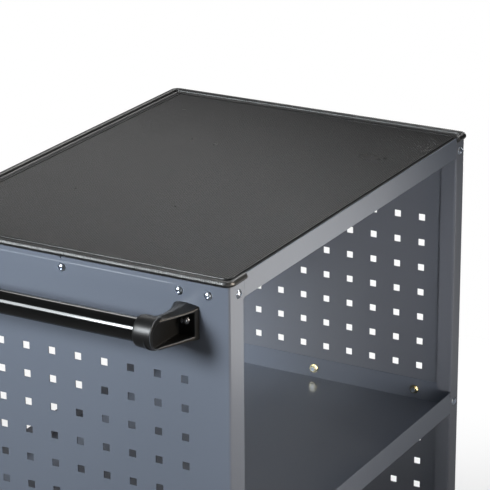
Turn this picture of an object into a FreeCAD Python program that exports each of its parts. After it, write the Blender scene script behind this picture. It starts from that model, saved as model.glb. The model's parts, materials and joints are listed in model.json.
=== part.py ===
import FreeCAD, Part
import math
import os

from FreeCAD import Vector

# Service cart with a ribbed top mat, perforated end panels, two tray shelves,
# a tubular push handle on the left end and four casters.
# Millimetres. X runs along the long side with the handle end at minus X,
# Y runs from the open front to the open back, Z is up from the floor.
# The body is drawn about its own middle and moved along X at the end, so that
# the origin lies on the floor under the middle of the whole object.

# Body and sheet metal
body_width = 665.0
sheet = 1.5
sheet_gap = 0.1
seam = 0.3
bend_radius = 3.0
left_post_width = 36.0
right_post_width = 27.0
post_return = 22.0
post_return_corner = 9.0
notch_gap = 1.5
panel_below_casters = 12.0

# Perforation of the end panels
hole_pitch = 38.0
hole_side = 10.0
hole_corner = 0.6
hole_columns = 10
hole_margin = 62.5
rows_per_bay = 7
first_row_drop = 133.5

# Top tray and its rails
rail_height = 28.5
rail_stand = 3.8
rail_edge = 0.5
skirt_return = 12.0

# Ribbed mat with a bead on three sides
mat_drop = 0.8
bead_radius = 4.2
bead_outset = 0.7
bead_drop = 1.7
bead_corner = 9.0
bead_return_left = 38.0
bead_return_right = 26.5
mat_clearance = 0.2

# Shelves
shelf_sheet = 1.2
shelf_rim = 31.0
rim_above_bolts = 16.7
joggle_width = 3.0
relief_width = 2.5
relief_depth = 7.0

# Screws through the sheet metal
screw_radius = 3.0
screw_hole_radius = 3.2
screw_head_radius = 5.8
screw_head_height = 3.3
screw_socket = 4.0
screw_socket_depth = 1.8
screw_grip = 8.0
nut_flats = 10.0
nut_height = 4.5
nut_flange_radius = 6.6
nut_flange_height = 1.2
side_screw_first = 28.7
side_screw_second = 68.5
side_screw_drop = 20.5
left_post_screw_inset = 22.5
right_post_screw_inset = 15.5
peg_hole_radius = 2.5
peg_hole_drop = 6.8

# Handle
tube_radius = 15.0
tube_wall = 1.5
tube_clearance = 0.1
handle_reach = 58.0
handle_drop = 54.0
collar_radius = 20.0
collar_far = 88.0
collar_bore_depth = 16.0
bracket_half_height = 23.0
bracket_near = 40.5
bracket_slant = 0.38
arm_back = 70.0
foot_back = 78.0
foot_flare = 16.0
foot_edge = 3.0
pocket_floor = 7.0
pocket_back = 66.5
pocket_top = 10.0
pocket_bottom = 17.5
pocket_end_radius = 14.5
rim_round = 1.6
handle_screw_at = 57.0
handle_screw_radius = 4.0
handle_screw_hole = 4.2
handle_head_radius = 6.6
handle_head_height = 4.4
handle_socket = 5.0
handle_socket_depth = 2.4
handle_screw_tail = 9.0
handle_nut_flats = 13.0
handle_nut_height = 6.5
handle_washer_radius = 8.0
handle_washer_height = 1.6
tube_end_gap = 0.1

# Casters
caster_height = 160.0
underframe_sheet = 3.0
underframe_width = 112.0
underframe_inset = 14.0
wheel_radius = 62.5
tyre_depth = 12.0
tyre_width = 32.0
tyre_round = 7.0
tyre_seat_gap = 0.05
rim_depth = 4.0
hub_radius = 16.0
web_thickness = 7.0
rib_count = 10
rib_thickness = 3.0
hub_end_gap = 0.5
running_gap = 0.05
thrust_gap = 0.2
sleeve_end_gap = 0.1
caster_trail = 38.0
caster_inset_x = 76.0
caster_inset_y = 68.0
plate_length = 105.0
plate_width = 85.0
plate_sheet = 3.0
plate_corner = 8.0
plate_hole_x = 80.0
plate_hole_y = 60.0
plate_hole_radius = 4.5
fork_sheet = 3.0
fork_inside = 40.0
fork_crown_drop = 10.0
fork_crown_radius = 30.0
fork_crown_half = 26.0
fork_waist_front = 20.0
fork_waist_back = 28.0
fork_waist_drop = 26.0
fork_foot_radius = 14.0
race_radius = 25.0
race_outer = 27.0
race_inner = 15.0
race_height = 2.0
kingpin_radius = 6.0
kingpin_head_radius = 10.0
kingpin_head_height = 3.5
axle_radius = 5.0
axle_tube_radius = 7.5
axle_nut_flats = 17.0
axle_nut_height = 8.0
axle_head_height = 6.4
axle_tail = 3.0
bolt_radius = 4.0
bolt_flats = 13.0
bolt_head_height = 5.3
bolt_tail = 2.0
bolt_nut_height = 6.5
pedal_pin_radius = 3.0
pedal_pin_head = 1.2
pedal_pivot_back = 18.0
pedal_pivot_drop = 22.5
pedal_eye_radius = 6.5
pedal_width = 36.0
pedal_pad_width = 52.0
pedal_pad_thickness = 5.0
pedal_pad_start = 60.0
pedal_pad_lap = 8.0
pedal_pad_end = 112.0
pedal_pad_fall = 12.0
pedal_pad_corner = 8.0
pedal_arm_thickness = 5.0

# Derived levels and half sizes
half_width = body_width / 2
body_depth = 2 * hole_margin + (hole_columns - 1) * hole_pitch
half_depth = body_depth / 2
bottom_floor_under = caster_height + underframe_sheet
bottom_rim_top = bottom_floor_under + shelf_sheet + shelf_rim
bottom_bolt_level = bottom_rim_top - rim_above_bolts
middle_bolt_level = bottom_bolt_level + (rows_per_bay + 1) * hole_pitch
middle_rim_top = middle_bolt_level + rim_above_bolts
top_row_level = middle_bolt_level + rows_per_bay * hole_pitch
rail_top = top_row_level + first_row_drop
rail_bottom = rail_top - rail_height
tray_top = rail_top - rail_stand
mat_top = rail_top - mat_drop
panel_bottom = caster_height - panel_below_casters
inside_x = half_width - sheet - sheet_gap
inside_y = half_depth - sheet - sheet_gap
rail_left = -half_width + left_post_width + seam
rail_right = half_width - right_post_width - seam
rail_stops = {-1: rail_left, 1: rail_right}
post_screw_x = {-1: -half_width + left_post_screw_inset, 1: half_width - right_post_screw_inset}
screw_level = rail_top - side_screw_drop
shift_x = (handle_reach + collar_radius - bead_outset - bead_radius) / 2

# Levels of the caster pieces, measured down from their plate's top
axle_level = wheel_radius - caster_height
crown_level = -fork_crown_drop
pedal_level = -pedal_pivot_drop
fork_half = fork_inside / 2 + fork_sheet

# How far a cutting tool runs past a face or a joined piece reaches into its neighbour
past = 1.0
# How near an edge lies to the place that it is picked by
near = 0.01

X_AXIS = Vector(1, 0, 0)
Y_AXIS = Vector(0, 1, 0)
Z_AXIS = Vector(0, 0, 1)
MIDDLE = Vector(0, 0, 0)


def block(x0, x1, y0, y1, z0, z1):
    return Part.makeBox(x1 - x0, y1 - y0, z1 - z0, Vector(x0, y0, z0))


def rod(radius, start, direction, length):
    return Part.makeCylinder(radius, length, start, direction)


def prism(points, direction):
    face = Part.Face(Part.makePolygon(list(points) + [points[0]]))
    return face.extrude(direction)


def hexagon(flats, start, direction, length):
    radius = flats / math.sqrt(3)
    tool = Part.makeCylinder(radius, length, start, direction)
    side = X_AXIS if abs(direction.x) < 0.5 else Y_AXIS
    turned = direction.cross(side)
    points = []
    for corner in range(6):
        angle = math.radians(60 * corner)
        points.append(start + side * (radius * math.cos(angle)) + turned * (radius * math.sin(angle)))
    return tool.common(prism(points, direction * length))


def one_solid(pieces):
    joined = pieces[0].multiFuse(pieces[1:]).removeSplitter()
    return joined.Solids[0]


def soften(shape, radius, wanted):
    edges = [edge for edge in shape.Edges if wanted(edge)]
    return shape.makeFillet(radius, edges)


def runs_along(edge, direction):
    ends = edge.Vertexes
    if len(ends) < 2:
        return False
    run = ends[1].Point - ends[0].Point
    return run.Length > 1e-6 and abs(run.normalize().dot(direction)) > 0.9999


def flip_x(shape):
    return shape.mirror(MIDDLE, X_AXIS)


def flip_y(shape):
    return shape.mirror(MIDDLE, Y_AXIS)


def save(name, shapes):
    placed = []
    for shape in shapes:
        moved = shape.copy()
        moved.translate(Vector(shift_x, 0, 0))
        placed.append(moved)
    whole = placed[0] if len(placed) == 1 else Part.makeCompound(placed)
    whole.exportStep(os.path.join("parts", name + ".step"))
    print(name, len(placed), "valid" if whole.isValid() else "NOT VALID", round(whole.Volume))


# Places along the depth where screws pass through the end panels
side_screw_places = [
    -half_depth + side_screw_first,
    -half_depth + side_screw_second,
    0.0,
    half_depth - side_screw_second,
    half_depth - side_screw_first,
]
shelf_bolt_places = [-half_depth + side_screw_second, 0.0, half_depth - side_screw_second]
shelf_bolt_levels = [middle_bolt_level, bottom_bolt_level]
post_screw_levels = [screw_level, middle_bolt_level, bottom_bolt_level]
handle_level = rail_top - handle_drop


def square_outline(x, y, z):
    """A square hole's outline with small round corners, in a plane across X."""
    half = hole_side / 2
    run = half - hole_corner
    edges = []
    for turn in range(4):
        angle = math.pi / 2 * turn
        out = Vector(0, math.cos(angle), math.sin(angle))
        along = Vector(0, -math.sin(angle), math.cos(angle))
        centre = Vector(x, y, z)
        start = centre + out * half - along * run
        end = centre + out * half + along * run
        edges.append(Part.makeLine(start, end))
        pivot = centre + out * run + along * run
        middle = pivot + (out + along) * (hole_corner / math.sqrt(2))
        after = centre + along * half + out * run
        edges.append(Part.Arc(end, middle, after).toShape())
    return Part.Wire(edges)


def round_outline(x, y, z, radius):
    return Part.Wire(Part.Circle(Vector(x, y, z), X_AXIS, radius).toShape())


def panel_web():
    """The flat sheet across the end, with its tool-hook grid and its screw holes."""
    x = -half_width
    corners = [
        Vector(x, -half_depth, panel_bottom),
        Vector(x, half_depth, panel_bottom),
        Vector(x, half_depth, tray_top),
        Vector(x, -half_depth, tray_top),
    ]
    wires = [Part.makePolygon(corners + [corners[0]])]
    for bolt_level in shelf_bolt_levels:
        for row in range(1, rows_per_bay + 1):
            for column in range(hole_columns):
                y = -half_depth + hole_margin + column * hole_pitch
                wires.append(square_outline(x, y, bolt_level + row * hole_pitch))
        for y in shelf_bolt_places:
            wires.append(round_outline(x, y, bolt_level, screw_hole_radius))
    for y in side_screw_places:
        wires.append(round_outline(x, y, screw_level, screw_hole_radius))
    wires.append(round_outline(x, 0.0, rail_top - peg_hole_drop, peg_hole_radius))
    face = Part.makeFace(wires, "Part::FaceMakerBullseye")
    return face.extrude(Vector(sheet, 0, 0))


def at_corner(edge, places):
    middle = edge.CenterOfMass
    for x, y in places:
        if abs(middle.x - x) < near and abs(middle.y - y) < near:
            return runs_along(edge, Z_AXIS)
    return False


def rounded_slab(half_x, half_y, radius, z0, z1):
    slab = block(-half_x, half_x, -half_y, half_y, z0, z1)
    return soften(slab, radius, lambda edge: runs_along(edge, Z_AXIS))


def fit_into_panels(shape):
    """Round the four outer corners to lie in the end panels' bends."""
    corners = [(end * inside_x, side * inside_y) for end in (-1, 1) for side in (-1, 1)]
    return soften(shape, bend_radius - sheet, lambda edge: at_corner(edge, corners))


def side_panel(post_width, post_screw_inset):
    """A folded end panel, drawn at minus X: web, two posts and their return flanges.

    Where a rail or a lip meets a post, the return is cut away and the post's face ends square.
    """
    outer = -half_width
    pieces = [panel_web()]
    for side in (-1, 1):
        face_y = sorted((side * half_depth, side * (half_depth - sheet)))
        lip_y = sorted((side * half_depth, side * (half_depth - post_return)))
        pieces.append(block(outer, outer + post_width, *face_y, panel_bottom, tray_top))
        pieces.append(block(outer + post_width - sheet, outer + post_width, *lip_y, panel_bottom, tray_top))
    panel = one_solid(pieces)
    outside = []
    inside = []
    for side in (-1, 1):
        outside.append((outer, side * half_depth))
        outside.append((outer + post_width, side * half_depth))
        inside.append((outer + sheet, side * (half_depth - sheet)))
        inside.append((outer + post_width - sheet, side * (half_depth - sheet)))
    panel = soften(panel, bend_radius, lambda edge: at_corner(edge, outside))
    panel = soften(panel, bend_radius - sheet, lambda edge: at_corner(edge, inside))
    tabs = []
    cuts = []
    notches = [(rail_bottom - notch_gap, rail_top)]
    for rim_top in (middle_rim_top, bottom_rim_top):
        notches.append((rim_top - shelf_rim - shelf_sheet - notch_gap, rim_top + notch_gap))
    for low, high in notches:
        for side in (-1, 1):
            x0 = outer + post_width - bend_radius - sheet
            y0, y1 = sorted((side * half_depth, side * (half_depth - sheet)))
            tabs.append(block(x0, outer + post_width, y0, y1, low, min(high, tray_top)))
            y0, y1 = sorted((side * (half_depth - sheet), side * (half_depth - post_return - past)))
            cuts.append(block(x0, outer + post_width + past, y0, y1, low, high))
    panel = one_solid([panel] + tabs)
    for level in post_screw_levels:
        x = outer + post_screw_inset
        start = Vector(x, -half_depth - past, level)
        cuts.append(rod(screw_hole_radius, start, Y_AXIS, body_depth + 2 * past))
    panel = panel.cut(cuts).Solids[0]
    corner_levels = [low for low, high in notches] + [high for low, high in notches]

    def is_return_corner(edge):
        middle = edge.CenterOfMass
        near_tip = abs(abs(middle.y) - (half_depth - post_return)) < near
        at_level = any(abs(middle.z - level) < near for level in corner_levels)
        return near_tip and at_level and runs_along(edge, X_AXIS)

    return soften(panel, post_return_corner, is_return_corner)


def drill_handle_holes(panel):
    tools = []
    for side in (-1, 1):
        y = side * (half_depth - handle_screw_at)
        start = Vector(-half_width - past, y, handle_level)
        tools.append(rod(handle_screw_hole, start, X_AXIS, sheet + 2 * past))
    return panel.cut(tools).Solids[0]


def top_tray():
    """The sheet under the mat, with skirts on its four sides."""
    pieces = [block(-inside_x, inside_x, -inside_y, inside_y, tray_top - sheet, tray_top)]
    for side in (-1, 1):
        x0, x1 = sorted((side * inside_x, side * (inside_x - sheet)))
        pieces.append(block(x0, x1, -inside_y, inside_y, rail_bottom, tray_top))
        y0, y1 = sorted((side * inside_y, side * (inside_y - sheet)))
        pieces.append(block(-inside_x, inside_x, y0, y1, rail_bottom, tray_top))
        y0, y1 = sorted((side * inside_y, side * (inside_y - skirt_return)))
        pieces.append(block(rail_left, rail_right, y0, y1, rail_bottom, rail_bottom + sheet))
    tray = fit_into_panels(one_solid(pieces))
    tools = []
    for y in side_screw_places:
        start = Vector(-half_width, y, screw_level)
        tools.append(rod(screw_hole_radius, start, X_AXIS, body_width))
    for end in (-1, 1):
        start = Vector(post_screw_x[end], -half_depth, screw_level)
        tools.append(rod(screw_hole_radius, start, Y_AXIS, body_depth))
    return tray.cut(tools).Solids[0]


def front_rail():
    """The flat rail between the front posts, which stands up in front of the mat."""
    rail = block(rail_left, rail_right, -half_depth, -half_depth + sheet, rail_bottom, rail_top)
    rail = soften(rail, rail_edge, lambda e: runs_along(e, X_AXIS) and e.CenterOfMass.z > rail_top - near)
    bead_bottom = rail_top - bead_drop - bead_radius - mat_clearance
    bead_end = -half_width + bead_return_left + mat_clearance
    notch = block(
        rail_left - past,
        bead_end,
        -half_depth - past,
        -half_depth + sheet + past,
        bead_bottom,
        rail_top + past,
    )
    return rail.cut(notch).Solids[0]


def rear_rail():
    """The rail between the rear posts. It ends under the mat's bead."""
    return block(rail_left, rail_right, half_depth - sheet, half_depth, rail_bottom, tray_top)


def bead_path():
    """Centre line of the bead: round the left, back and right sides of the top."""
    x = half_width + bead_outset
    y = half_depth + bead_outset
    r = bead_corner
    z = rail_top - bead_drop
    k = r * (1 - math.sqrt(0.5))
    stops = [
        ("line", (-half_width + bead_return_left, -y), (-x + r, -y)),
        ("arc", (-x + r, -y), (-x + k, -y + k), (-x, -y + r)),
        ("line", (-x, -y + r), (-x, y - r)),
        ("arc", (-x, y - r), (-x + k, y - k), (-x + r, y)),
        ("line", (-x + r, y), (x - r, y)),
        ("arc", (x - r, y), (x - k, y - k), (x, y - r)),
        ("line", (x, y - r), (x, -y + r)),
        ("arc", (x, -y + r), (x - k, -y + k), (x - r, -y)),
        ("line", (x - r, -y), (half_width - bead_return_right, -y)),
    ]
    edges = []
    for kind, *places in stops:
        points = [Vector(px, py, z) for px, py in places]
        if kind == "line":
            edges.append(Part.makeLine(*points))
        else:
            edges.append(Part.Arc(*points).toShape())
    return Part.Wire(edges)


def top_mat():
    """Moulded mat: a flat field and a round bead that hooks over the panel tops."""
    path = bead_path()
    start = Vector(-half_width + bead_return_left, -half_depth - bead_outset, rail_top - bead_drop)
    ring = Part.Wire(Part.Circle(start, X_AXIS, bead_radius).toShape())
    bead = path.makePipeShell([ring], True, False)
    body = rounded_slab(half_width + sheet_gap, half_depth + sheet_gap, bend_radius, rail_bottom, tray_top)
    bead = bead.cut(body).Solids[0]
    field = rounded_slab(half_width + bead_outset, half_depth + bead_outset, bead_corner, tray_top, mat_top)
    rail_room = block(
        -half_width + bead_return_left,
        half_width - bead_return_right,
        -half_depth - bead_outset - past,
        -half_depth + sheet + mat_clearance,
        rail_bottom,
        rail_top + past,
    )
    return one_solid([bead, field.cut(rail_room)])


def tray_shelf(rim_top, floor_holes):
    """A shelf folded as a shallow tray. Its lips lie flush between the posts."""
    floor_under = rim_top - shelf_rim - shelf_sheet
    floor_top = floor_under + shelf_sheet
    pieces = [block(-inside_x, inside_x, -inside_y, inside_y, floor_under, floor_top)]
    tab_depth = sheet + sheet_gap + shelf_sheet
    cuts = []
    for side in (-1, 1):
        x0, x1 = sorted((side * inside_x, side * (inside_x - shelf_sheet)))
        pieces.append(block(x0, x1, -inside_y, inside_y, floor_under, rim_top))
        y0, y1 = sorted((side * half_depth, side * (half_depth - shelf_sheet)))
        pieces.append(block(rail_left, rail_right, y0, y1, floor_under, rim_top))
        y0, y1 = sorted((side * half_depth, side * inside_y))
        pieces.append(block(rail_left, rail_right, y0, y1, floor_under, floor_top))
        for end, stop in rail_stops.items():
            x0, x1 = sorted((stop, stop - end * joggle_width))
            y0, y1 = sorted((side * half_depth, side * (half_depth - tab_depth)))
            pieces.append(block(x0, x1, y0, y1, floor_under, rim_top))
            x0, x1 = sorted((end * inside_x, stop - end * joggle_width))
            y0, y1 = sorted((side * inside_y, side * (half_depth - tab_depth)))
            pieces.append(block(x0, x1, y0, y1, floor_under, rim_top))
            x0, x1 = sorted((stop + end * past, stop - end * relief_width))
            y0, y1 = sorted((side * (half_depth + past), side * inside_y))
            cuts.append(block(x0, x1, y0, y1, rim_top - relief_depth, rim_top + past))
    bolt_level = rim_top - rim_above_bolts
    for y in shelf_bolt_places:
        cuts.append(rod(screw_hole_radius, Vector(-half_width, y, bolt_level), X_AXIS, body_width))
    for end in (-1, 1):
        start = Vector(post_screw_x[end], -half_depth, bolt_level)
        cuts.append(rod(screw_hole_radius, start, Y_AXIS, body_depth))
    for x, y in floor_holes:
        start = Vector(x, y, floor_under - past)
        cuts.append(rod(plate_hole_radius, start, Z_AXIS, shelf_sheet + 2 * past))
    return fit_into_panels(one_solid(pieces)).cut(cuts).Solids[0]


def pan_screw(place, inward, grip):
    """A pan-head screw with a six-sided socket. Its head sits at place, outside."""
    rise = screw_head_height
    dome = (screw_head_radius ** 2 + rise ** 2) / (2 * rise)
    ball = Part.makeSphere(dome, place - inward * (rise - dome))
    head = ball.common(rod(screw_head_radius, place, inward * -1, rise))
    socket = hexagon(screw_socket, place - inward * (rise + past), inward, screw_socket_depth + past)
    shank = rod(screw_radius, place, inward, grip)
    return one_solid([head, shank]).cut(socket).Solids[0]


def flange_nut(place, inward):
    """A flanged nut that sits at place on the inner sheet."""
    body = hexagon(nut_flats, place, inward, nut_height)
    flange = rod(nut_flange_radius, place, inward, nut_flange_height)
    bore = rod(screw_radius + running_gap, place - inward * past, inward, nut_height + 2 * past)
    return one_solid([body, flange]).cut(bore).Solids[0]


def end_fasteners(levels_and_places, inner_sheet):
    """Screws through both end panels into what hangs inside, and their nuts."""
    screws = []
    nuts = []
    for side in (-1, 1):
        inward = Vector(-side, 0, 0)
        for level, y in levels_and_places:
            outside = Vector(side * half_width, y, level)
            screws.append(pan_screw(outside, inward, screw_grip))
            nuts.append(flange_nut(outside + inward * (sheet + sheet_gap + inner_sheet), inward))
    return screws, nuts


def post_fasteners():
    """Screws through the front and rear post flanges, and their nuts."""
    screws = []
    nuts = []
    for end in (-1, 1):
        for side in (-1, 1):
            for level in post_screw_levels:
                inner_sheet = sheet if level == screw_level else shelf_sheet
                inward = Vector(0, -side, 0)
                outside = Vector(post_screw_x[end], side * half_depth, level)
                screws.append(pan_screw(outside, inward, screw_grip))
                nuts.append(flange_nut(outside + inward * (sheet + sheet_gap + inner_sheet), inward))
    return screws, nuts


def handle_bracket():
    """The moulded bracket at the front end of the handle."""
    panel_x = -half_width
    front = -half_depth
    axis_x = panel_x - handle_reach
    z = handle_level

    lean = math.atan2(bracket_half_height, handle_reach)
    swing = lean + math.acos(collar_radius / math.hypot(bracket_half_height, handle_reach))
    touch_x = axis_x + collar_radius * math.cos(swing)
    touch_z = collar_radius * math.sin(swing)
    foot_high = Vector(panel_x, front, z + bracket_half_height)
    foot_low = Vector(panel_x, front, z - bracket_half_height)
    touch_high = Vector(touch_x, front, z + touch_z)
    touch_low = Vector(touch_x, front, z - touch_z)
    nose_tip = Vector(axis_x - collar_radius, front, z)
    outline = Part.Wire(
        [
            Part.makeLine(foot_low, foot_high),
            Part.makeLine(foot_high, touch_high),
            Part.Arc(touch_high, nose_tip, touch_low).toShape(),
            Part.makeLine(touch_low, foot_low),
        ]
    )
    arm = Part.Face(outline).extrude(Vector(0, arm_back, 0))
    collar_start = Vector(axis_x, front + arm_back - past, z)
    collar = rod(collar_radius, collar_start, Y_AXIS, collar_far - arm_back + past)
    flare = prism(
        [
            Vector(panel_x, front + arm_back - past, z - collar_radius),
            Vector(panel_x, front + foot_back, z - collar_radius),
            Vector(panel_x - foot_edge, front + foot_back, z - collar_radius),
            Vector(panel_x - foot_flare, front + arm_back, z - collar_radius),
            Vector(panel_x - foot_flare, front + arm_back - past, z - collar_radius),
        ],
        Vector(0, 0, 2 * collar_radius),
    )
    solid = one_solid([arm, collar, flare])
    reach = handle_reach + collar_radius + past
    low = z - bracket_half_height - past
    wedge = prism(
        [
            Vector(panel_x + past, front - past, low),
            Vector(panel_x + past, front + bracket_near - bracket_slant * past, low),
            Vector(panel_x - reach, front + bracket_near + bracket_slant * reach, low),
            Vector(panel_x - reach, front - past, low),
        ],
        Vector(0, 0, 2 * (bracket_half_height + past)),
    )
    solid = solid.cut(wedge).Solids[0]

    def is_rim(edge):
        middle = edge.CenterOfMass
        for point in [vertex.Point for vertex in edge.Vertexes] + [middle]:
            expected = front + bracket_near + bracket_slant * (panel_x - point.x)
            if abs(point.y - expected) > near:
                return False
        return middle.x < panel_x - near

    solid = soften(solid, rim_round, is_rim)
    end_z = z - (pocket_bottom - pocket_end_radius)
    pocket_points = [
        Vector(panel_x - pocket_floor, front, z - pocket_bottom),
        Vector(panel_x - pocket_floor, front, z + pocket_top),
        Vector(axis_x, front, end_z + pocket_end_radius),
        Vector(axis_x, front, z - pocket_bottom),
    ]
    pocket = prism(pocket_points, Vector(0, pocket_back, 0))
    pocket_end = rod(pocket_end_radius, Vector(axis_x, front, end_z), Y_AXIS, pocket_back)
    bore_start = Vector(axis_x, front + collar_far - collar_bore_depth, z)
    bore = rod(tube_radius + tube_clearance, bore_start, Y_AXIS, collar_bore_depth + past)
    screw_start = Vector(panel_x - pocket_floor - past, front + handle_screw_at, z)
    screw_hole = rod(handle_screw_hole, screw_start, X_AXIS, pocket_floor + 2 * past)
    return solid.cut([pocket, pocket_end, bore, screw_hole]).Solids[0]


def handle_tube():
    end = half_depth - collar_far + collar_bore_depth - tube_end_gap
    start = Vector(-half_width - handle_reach, -end, handle_level)
    outside = rod(tube_radius, start, Y_AXIS, 2 * end)
    return outside.cut(rod(tube_radius - tube_wall, start, Y_AXIS, 2 * end)).Solids[0]


def handle_screw(side):
    seat = Vector(-half_width - pocket_floor, side * (half_depth - handle_screw_at), handle_level)
    rise = handle_head_height
    dome = (handle_head_radius ** 2 + rise ** 2) / (2 * rise)
    ball = Part.makeSphere(dome, seat + X_AXIS * (dome - rise))
    head = ball.common(rod(handle_head_radius, seat, X_AXIS * -1, rise))
    shank = rod(handle_screw_radius, seat, X_AXIS, pocket_floor + sheet + handle_screw_tail)
    start = seat - X_AXIS * (rise + past)
    socket = hexagon(handle_socket, start, X_AXIS, handle_socket_depth + past)
    return one_solid([head, shank]).cut(socket).Solids[0]


def handle_nut(side):
    seat = Vector(-half_width + sheet, side * (half_depth - handle_screw_at), handle_level)
    washer = rod(handle_washer_radius, seat, X_AXIS, handle_washer_height)
    body = hexagon(handle_nut_flats, seat, X_AXIS, handle_washer_height + handle_nut_height)
    bore_length = handle_washer_height + handle_nut_height + 2 * past
    bore = rod(handle_screw_radius + running_gap, seat - X_AXIS * past, X_AXIS, bore_length)
    return one_solid([washer, body]).cut(bore).Solids[0]


def plate_holes(x, y):
    """Where the four bolts of a caster at x, y stand."""
    places = []
    for side_x in (-1, 1):
        for side_y in (-1, 1):
            places.append((x + side_x * plate_hole_x / 2, y + side_y * plate_hole_y / 2))
    return places


def caster_places(end):
    x = end * (half_width - caster_inset_x)
    y = half_depth - caster_inset_y
    return [("front", x, -y), ("rear", x, y)]


def underframe_plate(end):
    """The thick strip welded under the bottom shelf, which the casters bolt to."""
    outer = half_width - underframe_inset
    x0, x1 = sorted((end * outer, end * (outer - underframe_width)))
    y = half_depth - post_return - notch_gap
    strip = block(x0, x1, -y, y, caster_height, bottom_floor_under)
    tools = []
    for name, x, y in caster_places(end):
        for hole_x, hole_y in plate_holes(x, y):
            start = Vector(hole_x, hole_y, caster_height - past)
            tools.append(rod(plate_hole_radius, start, Z_AXIS, underframe_sheet + 2 * past))
    return strip.cut(tools).Solids[0]


def drilled_plate():
    """A caster's top plate about its own middle, with its top at the origin."""
    plate = rounded_slab(plate_length / 2, plate_width / 2, plate_corner, -plate_sheet, 0)
    tools = []
    for x, y in plate_holes(0, 0):
        start = Vector(x, y, -plate_sheet - past)
        tools.append(rod(plate_hole_radius, start, Z_AXIS, plate_sheet + 2 * past))
    return plate.cut(tools).Solids[0]


def swivel_plate():
    plate = drilled_plate()
    race_top = crown_level + race_height
    cup = rod(race_radius, Vector(0, 0, race_top), Z_AXIS, -race_top)
    bore_start = Vector(0, 0, race_top - past)
    bore = rod(kingpin_radius + running_gap, bore_start, Z_AXIS, 2 * past - race_top)
    return one_solid([plate, cup]).cut(bore).Solids[0]


def swivel_race():
    """The ball ring between the plate and the fork."""
    low = crown_level + thrust_gap
    ring = rod(race_outer, Vector(0, 0, low), Z_AXIS, race_height - thrust_gap)
    bore = rod(race_inner, Vector(0, 0, low - past), Z_AXIS, race_height + 2 * past)
    return ring.cut(bore).Solids[0]


def kingpin():
    head_top = crown_level - fork_sheet - thrust_gap
    head_start = Vector(0, 0, head_top - kingpin_head_height)
    head = rod(kingpin_head_radius, head_start, Z_AXIS, kingpin_head_height)
    shank = rod(kingpin_radius, Vector(0, 0, head_top - past), Z_AXIS, past - head_top)
    return one_solid([head, shank])


def fork_leg(axle_x, top, side):
    """One leg of a fork: wide at the crown and round about the axle."""
    y0 = side * fork_inside / 2
    waist = top - fork_waist_drop
    neck = [
        Vector(-fork_crown_half, y0, top),
        Vector(fork_crown_half, y0, top),
        Vector(fork_waist_front, y0, waist),
        Vector(axle_x + fork_foot_radius, y0, axle_level),
        Vector(axle_x - fork_foot_radius, y0, axle_level),
        Vector(-fork_waist_back, y0, waist),
    ]
    leg = prism(neck, Vector(0, side * fork_sheet, 0))
    foot = rod(fork_foot_radius, Vector(axle_x, y0, axle_level), Y_AXIS * side, fork_sheet)
    return [leg, foot]


def axle_hole(axle_x):
    start = Vector(axle_x, -fork_inside, axle_level)
    return rod(axle_radius + running_gap, start, Y_AXIS, 2 * fork_inside)


def swivel_fork():
    low = crown_level - fork_sheet
    disc = rod(fork_crown_radius, Vector(0, 0, low), Z_AXIS, fork_sheet)
    strip = block(-fork_crown_radius, fork_crown_radius, -fork_half, fork_half, low, crown_level)
    bridge = block(-fork_crown_half, fork_crown_half, -fork_half, fork_half, low, crown_level)
    pieces = [disc.common(strip), bridge]
    for side in (-1, 1):
        pieces += fork_leg(-caster_trail, crown_level, side)
    king = rod(kingpin_radius + running_gap, Vector(0, 0, low - past), Z_AXIS, fork_sheet + 2 * past)
    pivot = Vector(-pedal_pivot_back, -fork_inside, pedal_level)
    pin = rod(pedal_pin_radius, pivot, Y_AXIS, 2 * fork_inside)
    return one_solid(pieces).cut([king, pin, axle_hole(-caster_trail)]).Solids[0]


def fixed_bracket():
    """The fixed caster's bracket: plate and legs pressed from one blank."""
    pieces = [drilled_plate()] + fork_leg(0, 0, -1) + fork_leg(0, 0, 1)
    return one_solid(pieces).cut(axle_hole(0)).Solids[0]


def axle_bolt(axle_x):
    head_start = Vector(axle_x, -fork_half - axle_head_height, axle_level)
    head = hexagon(axle_nut_flats, head_start, Y_AXIS, axle_head_height)
    length = 2 * fork_half + axle_nut_height + axle_tail
    shank = rod(axle_radius, Vector(axle_x, -fork_half - past, axle_level), Y_AXIS, length + past)
    return one_solid([head, shank])


def axle_nut(axle_x):
    seat = Vector(axle_x, fork_half, axle_level)
    body = hexagon(axle_nut_flats, seat, Y_AXIS, axle_nut_height)
    bore = rod(axle_radius + running_gap, seat - Y_AXIS * past, Y_AXIS, axle_nut_height + 2 * past)
    return body.cut(bore).Solids[0]


def axle_tube(axle_x):
    """The steel sleeve that the wheel turns on, between the fork's legs."""
    long = fork_inside - 2 * sleeve_end_gap
    start = Vector(axle_x, -long / 2, axle_level)
    bore = rod(axle_radius + running_gap, start - Y_AXIS * past, Y_AXIS, long + 2 * past)
    return rod(axle_tube_radius, start, Y_AXIS, long).cut(bore).Solids[0]


def ring(inner, outer, half, axle_x):
    """A plain ring about the axle."""
    corners = [(inner, -half), (outer, -half), (outer, half), (inner, half)]
    points = [Vector(axle_x, y, axle_level + radius) for radius, y in corners]
    face = Part.Face(Part.makePolygon(points + [points[0]]))
    return face.revolve(Vector(axle_x, 0, axle_level), Y_AXIS, 360)


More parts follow.
